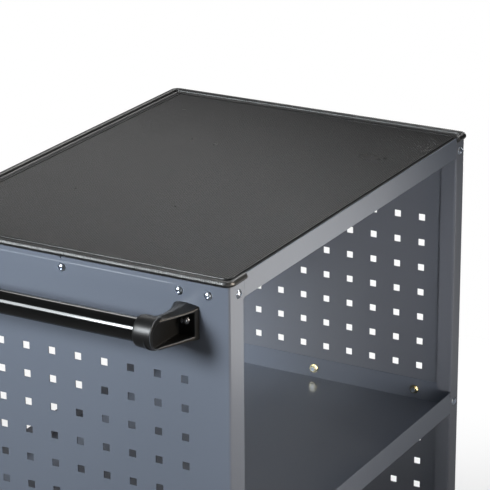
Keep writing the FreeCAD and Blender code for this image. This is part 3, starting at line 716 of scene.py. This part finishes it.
def ridge_shell():
    sections = []
    crest = RIB_TOP + RIDGE_PROUD - GROOVE
    foot = Vector((0, 0, GROOVE - RIDGE_SINK))
    for point, out in border_path(RIDGE_IN, RIDGE_FRONT, RIDGE_CORNER, RIDGE_STEP):
        taper = ridge_taper(point)
        centre = point + TO_FRONT * (taper ** 2) * RIDGE_SWING
        half = RIDGE_HALF * (1 - RIDGE_THINNING * taper)
        ring = []
        for step in range(RIDGE_ARC_STEPS + 1):
            angle = math.pi * step / RIDGE_ARC_STEPS
            rise = crest * math.sin(angle) ** RIDGE_ROUND
            ring.append(centre + out * half * math.cos(angle) + Vector((0, 0, GROOVE + rise)))
        ring.append(centre - out * half + foot)
        ring.append(centre + out * half + foot)
        sections.append(ring)
    return sweep(sections)


# %% The mat's sole: the sheet under ribs and groove
def sole_shell():
    rail_side = FRONT + SHEET + SOLE_GAP
    x0, x1 = LEFT + SOLE_IN, RIGHT - SOLE_IN
    y0, y1 = FRONT + SOLE_IN, BACK - SOLE_IN
    left_tongue = LEFT + RETURN_LEFT - SOLE_TONGUE
    right_tongue = RIGHT - RETURN_RIGHT + SOLE_TONGUE
    outline = [
        (left_tongue, rail_side),
        (left_tongue, y0),
        (x0 + SOLE_CORNER, y0),
        (x0, y0 + SOLE_CORNER),
        (x0, y1 - SOLE_CORNER),
        (x0 + SOLE_CORNER, y1),
        (x1 - SOLE_CORNER, y1),
        (x1, y1 - SOLE_CORNER),
        (x1, y0 + SOLE_CORNER),
        (x1 - SOLE_CORNER, y0),
        (right_tongue, y0),
        (right_tongue, rail_side),
    ]
    return sweep([[Vector((x, y, z)) for x, y in outline] for z in (TRAY_TOP, GROOVE)])


# %% [markdown]
# The ribbed field
#
# Each rib is a rounded crest with a narrow valley, three millimetres apart. An array of one
# rib would leave seams, so the field is one grid. Its rows run along the ribs, so it needs
# many rows but few columns, and its ends are drawn in at the corners to follow the ridge.


# %% The field's rows, from the front to the back
def field_rows():
    y0, y1 = FRONT + FIELD_FRONT, BACK - FIELD_IN
    ribs = int((y1 - y0) / RIB_PITCH)
    row_count = ribs * STEPS_PER_RIB
    rows = []
    for row in range(row_count + 1):
        y = y0 + (y1 - y0) * row / row_count
        phase = (row % STEPS_PER_RIB) / STEPS_PER_RIB
        height = RIB_TOP - RIB_DEPTH + RIB_DEPTH * rib_profile(phase)
        into_corner = max(0.0, FIELD_CORNER - min(y - y0, y1 - y))
        cut = FIELD_CORNER - math.sqrt(max(0.0, FIELD_CORNER ** 2 - into_corner ** 2))
        start = LEFT + FIELD_IN + cut
        end = RIGHT - FIELD_IN - cut
        shares = [column / FIELD_COLUMNS for column in range(FIELD_COLUMNS + 1)]
        rows.append([Vector((start + (end - start) * share, y, height)) for share in shares])
    print("ribs", ribs, "pitch", round((y1 - y0) / ribs / MM, 3), "mm")
    return rows


# %% The field as a closed shell: the ribbed top, its sides and a flat underside
def field_shell():
    rows = field_rows()
    last = len(rows) - 1
    wide = FIELD_COLUMNS + 1
    points = [point for row in rows for point in row]
    faces = []
    for row in range(last):
        for column in range(FIELD_COLUMNS):
            first = row * wide + column
            faces.append((first, first + 1, first + wide + 1, first + wide))
    rim = list(range(wide))
    rim += [row * wide + FIELD_COLUMNS for row in range(1, last + 1)]
    rim += [last * wide + column for column in range(FIELD_COLUMNS - 1, -1, -1)]
    rim += [row * wide for row in range(last - 1, 0, -1)]
    base = len(points)
    count = len(rim)
    points += [Vector((points[index].x, points[index].y, GROOVE - FIELD_SINK)) for index in rim]
    for step in range(count):
        after = (step + 1) % count
        faces.append((rim[step], rim[after], base + after, base + step))
    faces.append(tuple(base + step for step in range(count)))
    return shell(points, faces)


# %% [markdown]
# The mat in the scene
#
# Sole, ridge and field are one object, which stands for the CAD mat: that solid is hidden, and
# stays for collision. The bead is an object of its own, because rubbing has made it glossier
# than the rest. Both ride on the cart's body.

# %% Join the mat
mat = make_piece("ribbed_mat", [sole_shell(), ridge_shell(), field_shell()], mat_rubber, 35.0)
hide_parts("top_mat")
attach(mat, "cart")
bead = make_piece("mat_bead", [bead_shell()], bead_rubber, 35.0)
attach(bead, "cart")
mat_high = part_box("top_mat")[1]
print("mat faces", len(mat.data.polygons), "bead faces", len(bead.data.polygons))
print("bead top", round(BEAD_LEVEL + BEAD_RADIUS, 5), "of", round(mat_high.z, 5))

# %% [markdown]
# The handle brackets
#
# Each bracket is one moulding of glass-filled nylon: a collar that holds the tube, an arm that
# sinks towards its open front, and a deep pocket for the screw. CAD holds the plain solid. A
# subdivision cage could give the soft form, but collar, arm and pocket meet at odd angles,
# and a cage for that is hard to read. Here the arm is lofted through rounded sections, joined
# with the collar and cut by the pocket. A voxel remesh then welds it into one skin, and a
# light smoothing rounds each edge as a mould does. The thin bright lines along the rim are
# mostly a painted highlight, which the finish lays on these rounded edges.

# %% Sizes of a bracket, out from the panel, back from its front and up from the tube
TUBE_OUT = 58.0 * MM
TUBE_DOWN = 54.0 * MM
COLLAR_RADIUS = 20.0 * MM
COLLAR_START = 62.0 * MM
COLLAR_END = 88.0 * MM
COLLAR_LEAD = 2.0 * MM
COLLAR_SWELL = 0.9 * MM
COLLAR_BARREL = 10 * MM
BORE_RADIUS = 15.1 * MM
BORE_START = 72.0 * MM
BORE_PAST = 5 * MM
BORE_LEAD = 0.5 * MM

# %% Sizes of its arm and pocket
ARM_FRONT = 40.5 * MM
ARM_SLANT = 0.38  # how far the front steps back for each step out
ARM_BACK = 71.0 * MM
ARM_FLARE = 8.0 * MM
ARM_FLARE_REACH = 9 * MM
ARM_TOP = 19.5 * MM
ARM_DIP = 1.5 * MM
ARM_BOTTOM = -21.0 * MM
ARM_DROP = 3.2 * MM
RIM_TOP = 14.8 * MM
RIM_RISE = 3.6 * MM
BASE_REACH = 5 * MM
BASE_CROWN = 1.0 * MM
CROWN_PLACE = 0.45
FOOT_ROUND = 1.2 * MM
RIM_ROUND = 2.2 * MM
CROWN_ROUND = 3.0 * MM
BACK_ROUND = 8.0 * MM
BACK_ROUND_AT_BASE = 5.0 * MM
UNDER_ROUND = 4.0 * MM
FULL_DEPTH = 20 * MM
SMALLEST_SHARE = 0.12
POCKET_SIDE = 6.6 * MM
POCKET_FRONT = 10 * MM
POCKET_BACK = 66.5 * MM
POCKET_WALL = 2.7 * MM
POCKET_ROUND = 0.2 * MM
BRACKET_VOXEL = 0.7 * MM
print("tube centre", round(LEFT - TUBE_OUT, 4), round(RAIL_TOP - TUBE_DOWN, 4))


# %% Rounded outlines
def rounded_outline(corners, steps=6):
    """A convex outline with round corners, from (u, v, radius) in order."""
    outline = []
    for index, (u, v, radius) in enumerate(corners):
        here = Vector((u, v))
        before = Vector(corners[index - 1][:2])
        after = Vector(corners[(index + 1) % len(corners)][:2])
        back, on = (before - here).normalized(), (after - here).normalized()
        reach = radius / math.tan(back.angle(on) / 2)
        start, end = here + back * reach, here + on * reach
        for step in range(steps + 1):
            share = step / steps
            rest = 1 - share
            outline.append(start * rest ** 2 + here * 2 * share * rest + end * share ** 2)
    return outline


# %% The arm: sections from the panel out to the tube, then closed round over it
ARM_STEPS = 40
ARM_END_STEPS = 12
ARM_END_REACH = 0.995


def arm_section(out):
    """One rounded section of the arm, at a distance out from the panel."""
    over_tube = max(0.0, out - TUBE_OUT) / COLLAR_RADIUS
    share = math.sqrt(max(0.0, 1 - over_tube ** 2))
    way = min(1.0, out / TUBE_OUT)
    near = math.exp(-out / BASE_REACH)
    front = ARM_FRONT + ARM_SLANT * out
    back = ARM_BACK + ARM_FLARE * math.exp(-out / ARM_FLARE_REACH)
    middle = (RIM_TOP + ARM_BOTTOM) / 2
    rim = middle + (RIM_TOP + RIM_RISE * near - middle) * share
    dip = ARM_DIP * math.sin(math.pi * way)
    crown = middle + (ARM_TOP - dip + BASE_CROWN * near - middle) * share
    bottom = middle + (ARM_BOTTOM - ARM_DROP * (1 - way) - middle) * share
    size = max(SMALLEST_SHARE, share) * min(1.0, (back - front) / FULL_DEPTH)
    corners = [
        (front, bottom, FOOT_ROUND * size),
        (front, rim, RIM_ROUND * size),
        (front + (back - front) * CROWN_PLACE, crown, CROWN_ROUND * size),
        (back, crown, (BACK_ROUND + BACK_ROUND_AT_BASE * near) * size),
        (back, bottom, UNDER_ROUND * size),
    ]
    return [Vector((out, y, z)) for y, z in rounded_outline(corners)]


def eased_stops(length, steps, reach):
    """Distances past a centre that bunch up towards the end of a round, as a sine does."""
    angles = [math.pi / 2 * index / steps for index in range(1, steps + 1)]
    return [length * math.sin(angle) * reach for angle in angles]


def arm_shell():
    outs = [TUBE_OUT * (index / ARM_STEPS) for index in range(ARM_STEPS + 1)]
    ends = eased_stops(COLLAR_RADIUS, ARM_END_STEPS, ARM_END_REACH)
    outs += [TUBE_OUT + past for past in ends]
    return sweep([arm_section(out) for out in outs])


# %% Collar and bore: bars along the tube's axis
BAR_SPOKES = 96
BAR_STEPS = 12
LEAD_STEPS = 6


def round_bar(radius, start, end, lead, swell=0.0):
    """A bar along the tube's axis, eased at its far end. Swell gives it a slight barrel shape."""
    barrel = end - COLLAR_BARREL
    straight = end - lead - start
    stops = [(start + straight * index / BAR_STEPS, radius) for index in range(BAR_STEPS)]
    for index in range(LEAD_STEPS + 1):
        angle = math.pi / 2 * index / LEAD_STEPS
        stops.append((end - lead + lead * math.sin(angle), radius - lead + lead * math.cos(angle)))
    rings = []
    for y, radius_here in stops:
        size = radius_here - swell * max(0.0, (y - barrel) / (end - barrel)) ** 2
        ring = []
        for spoke in range(BAR_SPOKES):
            angle = 2 * math.pi * spoke / BAR_SPOKES
            ring.append(Vector((TUBE_OUT + size * math.cos(angle), y, size * math.sin(angle))))
        rings.append(ring)
    return sweep(rings)


# %% The pocket: open at the arm's front, round over the tube
POCKET_STEPS = 20
POCKET_END_STEPS = 10
POCKET_END_REACH = 0.99
POCKET_END_GAP = 1 * MM
THINNEST = 0.02


def pocket_shell():
    floor = ARM_BOTTOM + POCKET_WALL
    roof = RIM_TOP - POCKET_WALL
    middle = (floor + roof) / 2
    radius = (roof - floor) / 2
    length = TUBE_OUT - POCKET_SIDE
    outs = [POCKET_SIDE + length * index / POCKET_STEPS for index in range(POCKET_STEPS + 1)]
    ends = eased_stops(radius - POCKET_END_GAP, POCKET_END_STEPS, POCKET_END_REACH)
    outs += [TUBE_OUT + past for past in ends]
    sections = []
    for out in outs:
        over_tube = max(0.0, out - TUBE_OUT) / radius
        half = radius * math.sqrt(max(THINNEST ** 2, 1 - over_tube ** 2))
        low, high = middle - half, middle + half
        sides = [(POCKET_FRONT, low, high), (POCKET_BACK, high, low)]
        corners = [(y, z, POCKET_ROUND) for y, first, second in sides for z in (first, second)]
        outline = rounded_outline(corners, 2)
        sections.append([Vector((out, y, z)) for y, z in outline])
    return sweep(sections)


# %% Boolean steps and modifiers, applied at once
def apply_modifiers(piece):
    """Bake a piece's modifiers into its mesh."""
    depsgraph = bpy.context.evaluated_depsgraph_get()
    mesh = bpy.data.meshes.new_from_object(piece.evaluated_get(depsgraph))
    piece.modifiers.clear()
    piece.data = mesh


def combine(piece, other, operation):
    """One Boolean step. The other piece is used up."""
    step = piece.modifiers.new(operation, "BOOLEAN")
    step.operation = operation
    step.solver = "EXACT"
    step.object = other
    apply_modifiers(piece)
    bpy.data.objects.remove(other)


def weld_and_ease(piece):
    """One skin by voxel remesh, then a light smoothing of every edge."""
    weld = piece.modifiers.new("weld", "REMESH")
    weld.mode = "VOXEL"
    weld.voxel_size = BRACKET_VOXEL
    ease = piece.modifiers.new("ease", "SMOOTH")
    ease.factor = 0.5
    ease.iterations = 5
    apply_modifiers(piece)


# %% Make the front bracket, and the rear one as its mirror image
def move_to_cart(piece, front_side):
    """From the bracket's own axes to the cart's. The rear one is mirrored."""
    for vertex in piece.data.vertices:
        out, back, up = vertex.co
        y = FRONT + back if front_side else BACK - back
        vertex.co = (LEFT - out, y, RAIL_TOP - TUBE_DOWN + up)
    if front_side:
        piece.data.flip_normals()


def make_bracket(name, front_side, node):
    collar = round_bar(COLLAR_RADIUS, COLLAR_START, COLLAR_END, COLLAR_LEAD, COLLAR_SWELL)
    bore = round_bar(BORE_RADIUS, BORE_START, COLLAR_END + BORE_PAST, BORE_LEAD)
    steps = [
        ("collar", collar, "UNION"),
        ("pocket", pocket_shell(), "DIFFERENCE"),
        ("bore", bore, "DIFFERENCE"),
    ]
    piece = make_piece(name, [arm_shell()], bracket_plastic)
    for step_name, form, operation in steps:
        combine(piece, make_piece(step_name, [form], bracket_plastic), operation)
    weld_and_ease(piece)
    move_to_cart(piece, front_side)
    for polygon in piece.data.polygons:
        polygon.use_smooth = True
    dress(piece, bracket_plastic)
    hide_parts(node)
    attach(piece, "cart")
    print(name, "faces", len(piece.data.polygons))


make_bracket("front_bracket_moulding", True, "handle_bracket_front")
make_bracket("rear_bracket_moulding", False, "handle_bracket_rear")

# %% [markdown]
# The floor
#
# The cart stands on a pale floor. A plane would show its edge as a line behind the cart, so
# the floor is a wide disc that turns plain white away from the cart, and near it keeps the
# soft shadow. It is one matt grey for the light that bounces off it onto the cart, so that
# the lower shelves stay dark, and a paler one for the camera.

# %% A disc of rings
FLOOR_RINGS = (1.0, 2.0, 4.0, 8.0, 30.0)
FLOOR_SPOKES = 64


def floor_disc():
    points = [Vector((0, 0, 0))]
    for radius in FLOOR_RINGS:
        for spoke in range(FLOOR_SPOKES):
            angle = 2 * math.pi * spoke / FLOOR_SPOKES
            points.append(Vector((radius * math.cos(angle), radius * math.sin(angle), 0)))
    faces = []
    for spoke in range(FLOOR_SPOKES):
        faces.append((0, 1 + spoke, 1 + (spoke + 1) % FLOOR_SPOKES))
    for ring in range(len(FLOOR_RINGS) - 1):
        low = 1 + ring * FLOOR_SPOKES
        high = low + FLOOR_SPOKES
        for spoke in range(FLOOR_SPOKES):
            after = (spoke + 1) % FLOOR_SPOKES
            faces.append((low + spoke, high + spoke, high + after, low + after))
    mesh = bpy.data.meshes.new("floor")
    mesh.from_pydata([tuple(point) for point in points], [], faces)
    return place_in_scene("floor", mesh)


# %% The floor's finish: a shadow near the cart, plain white away from it
BOUNCED_GREY = (0.22, 0.22, 0.22, 1)
VIEWED_GREY = (0.72, 0.72, 0.72, 1)
WHITE = (1, 1, 1, 1)
SHADOW_REACH = (0.7, 1.7)
NEAR_GLOW = 0.45
GLOW_IN_GLOSS = 0.07


def floor_finish():
    made, finish = material("floor_pale")
    x, y = finish.axes(finish.place())[:2]
    far = ((x * x + y * y) ** 0.5).between(*SHADOW_REACH)
    camera, glossy, passing = finish.rays("Is Camera Ray", "Is Glossy Ray", "Is Transmission Ray")
    seen = camera + GLOW_IN_GLOSS * (glossy + passing)
    bounced = finish.node("ShaderNodeBsdfDiffuse", {}, {"Color": BOUNCED_GREY})
    viewed = finish.node("ShaderNodeBsdfDiffuse", {}, {"Color": VIEWED_GREY})
    matt = finish.node("ShaderNodeMixShader", {}, {0: camera, 1: bounced, 2: viewed})
    glow = finish.node("ShaderNodeEmission", {}, {"Color": WHITE, "Strength": 1.0})
    share = seen * (NEAR_GLOW + (1 - NEAR_GLOW) * far)
    mixed = finish.node("ShaderNodeMixShader", {}, {0: share, 1: matt, 2: glow})
    finish.node("ShaderNodeOutputMaterial", {}, {"Surface": mixed})
    return made


floor = floor_disc()
dress(floor, floor_finish())
print("floor points", len(floor.data.vertices))

# %% [markdown]
# The world
#
# The background is white to the camera, but a white world would also flood the cart with
# light and fill its shadows. So only a camera ray sees the white. What the paint mirrors, and
# what fills the shadows, is a dim grey, a little lighter on the side behind the cart.

# %% World
BEHIND = Vector((0.872, 0.489, 0.0))
BEHIND_RISE = (0.15, 0.75)
MIRRORED_LEVEL = 0.04
MIRRORED_BEHIND = 0.05
FILL_LEVEL = 0.055


def make_world():
    world = bpy.data.worlds.new("studio")
    bpy.context.scene.world = world
    world.use_nodes = True
    finish = Finish(world.node_tree)
    direction = finish.node("ShaderNodeTexCoord", {}, {}, "Generated")
    x, y = finish.axes(direction)[:2]
    behind = (x * BEHIND.x + y * BEHIND.y).between(*BEHIND_RISE)
    camera, glossy = finish.rays("Is Camera Ray", "Is Glossy Ray")
    mirrored = MIRRORED_LEVEL + MIRRORED_BEHIND * behind
    level = camera + (1 - camera) * (glossy * mirrored + (1 - glossy) * FILL_LEVEL)
    shader = finish.node("ShaderNodeBackground", {}, {"Color": WHITE, "Strength": level})
    finish.node("ShaderNodeOutputWorld", {}, {"Surface": shader})
    print("world", world.name, "has", len(world.node_tree.nodes), "nodes")


make_world()

# %% [markdown]
# The lamps
#
# Sheet metal shows what it mirrors, so a studio lights it with soft boxes, and the cart has
# one for each face that matters. A picture of a studio could light it in one step, but then
# no face could be set by itself. A lamp with a narrow spread lights one place and leaves its
# neighbours dark, as a box with a grid over it does.
#
# The tall left box lights the handle's end panel, and the tube box draws the long highlight on
# the tube. The sky box draws the line along the left bead, and the tall right box stands where
# the mat's ribs mirror it. The high box lights everything from above. The rear and inside
# boxes reach the far panel through the open bay, and the right box lights that panel's outside.
# In front, the low box is what the rail and the left post mirror, the near box warms the left
# post, and the one above lights the corner between them.


# %% One soft box
COOL = (0.92, 0.97, 1.0)
WARM = (1.0, 0.89, 0.76)
PLAIN = (1, 1, 1)
OPEN = 180.0


def soft_box(name, place, aim, size, power, colour=PLAIN, spread=OPEN):
    """An area lamp of a width and height in metres, with its spread in degrees."""
    lamp = bpy.data.lights.new(name, "AREA")
    lamp.shape = "RECTANGLE"
    lamp.size, lamp.size_y = size
    lamp.energy = power
    lamp.color = colour
    lamp.spread = math.radians(spread)
    made = place_in_scene(name, lamp)
    made.location = place
    made.rotation_mode = "QUATERNION"
    made.rotation_quaternion = (Vector(aim) - Vector(place)).to_track_quat("-Z", "Y")
    made.visible_camera = False
    print(name, power, "W")


# %% The boxes on the handle's side
soft_box("tall_left_box", (-1.72, 0.62, 1.55), (-0.3, 0.0, 1.0), (0.30, 0.62), 6.3, COOL, 75.0)
soft_box("tube_box", (-1.72, 0.95, 1.55), (-0.3, 0.1, 0.95), (0.36, 0.62), 13.0, COOL)

# %% The boxes above, behind and inside
soft_box("sky_box", (0.93, 0.92, 2.05), (-0.354, 0.0, 0.83), (0.50, 0.36), 2.6)
soft_box("rear_box", (-0.05, 0.66, 0.75), (0.37, 0.30, 0.62), (0.35, 0.5), 0.25, COOL, 46.0)
soft_box("inside_box", (-0.90, -0.85, 0.76), (0.36, -0.16, 0.70), (0.20, 0.4), 0.46, PLAIN, 38.0)
soft_box("right_box", (2.10, 0.35, 0.62), (0.37, 0.0, 0.5), (0.8, 0.8), 24.0)
soft_box("tall_right_box", (1.36, 0.0, 2.0), (-0.1, -0.1, 0.9), (0.5, 0.6), 6.8)
soft_box("high_box", (-0.2, -0.35, 2.4), (-0.2, -0.2, 0.885), (0.6, 0.6), 8.0)

# %% The boxes in front
NEAR_POST = (-0.27, -0.2335, 0.69)
soft_box("near_front_box", (-0.22, -0.95, 0.95), NEAR_POST, (0.2, 0.5), 1.55, WARM, 90.0)
soft_box("over_front_box", (0.46, -1.12, 2.11), (-0.35, -0.17, 0.83), (0.5, 0.5), 0.36, PLAIN, 45.0)
soft_box("low_front_box", (1.00, -0.97, 0.36), (-0.2, -0.235, 0.86), (0.58, 0.42), 1.40)

# %% [markdown]
# The camera
#
# The camera stands where the photograph's did. It could be aimed by eye, but then every
# proportion would be a guess. Its place and aim were measured from the square grid of holes,
# whose pitch is known, so that the render and the photograph can be compared edge by edge.

# %% Camera
CAMERA_PLACE = Vector((-2.57166, -1.53203, 1.88252))
CAMERA_TURN = 60.7006
CAMERA_DIP = 19.9788
CAMERA_ROLL = 0.3959
CAMERA_LENS = 176.96
CAMERA_SENSOR = 36.0
CAMERA_FAR = 100.0


def make_camera():
    turn = math.radians(CAMERA_TURN)
    dip = math.radians(CAMERA_DIP)
    roll = math.radians(CAMERA_ROLL)
    ahead = Vector((math.sin(turn) * math.cos(dip), math.cos(turn) * math.cos(dip), -math.sin(dip)))
    level = Vector((math.cos(turn), -math.sin(turn), 0.0))
    down = ahead.cross(level)
    right = math.cos(roll) * level + math.sin(roll) * down
    low = -math.sin(roll) * level + math.cos(roll) * down
    data = bpy.data.cameras.new("camera")
    data.lens = CAMERA_LENS
    data.sensor_width = CAMERA_SENSOR
    data.clip_end = CAMERA_FAR
    made = place_in_scene("camera", data)
    axes = Matrix((right, -low, -ahead)).transposed().to_4x4()
    made.matrix_world = Matrix.Translation(CAMERA_PLACE) @ axes
    print("camera at", [round(value, 3) for value in CAMERA_PLACE])
    return made


bpy.context.scene.camera = make_camera()
bpy.context.scene.view_settings.view_transform = "Standard"
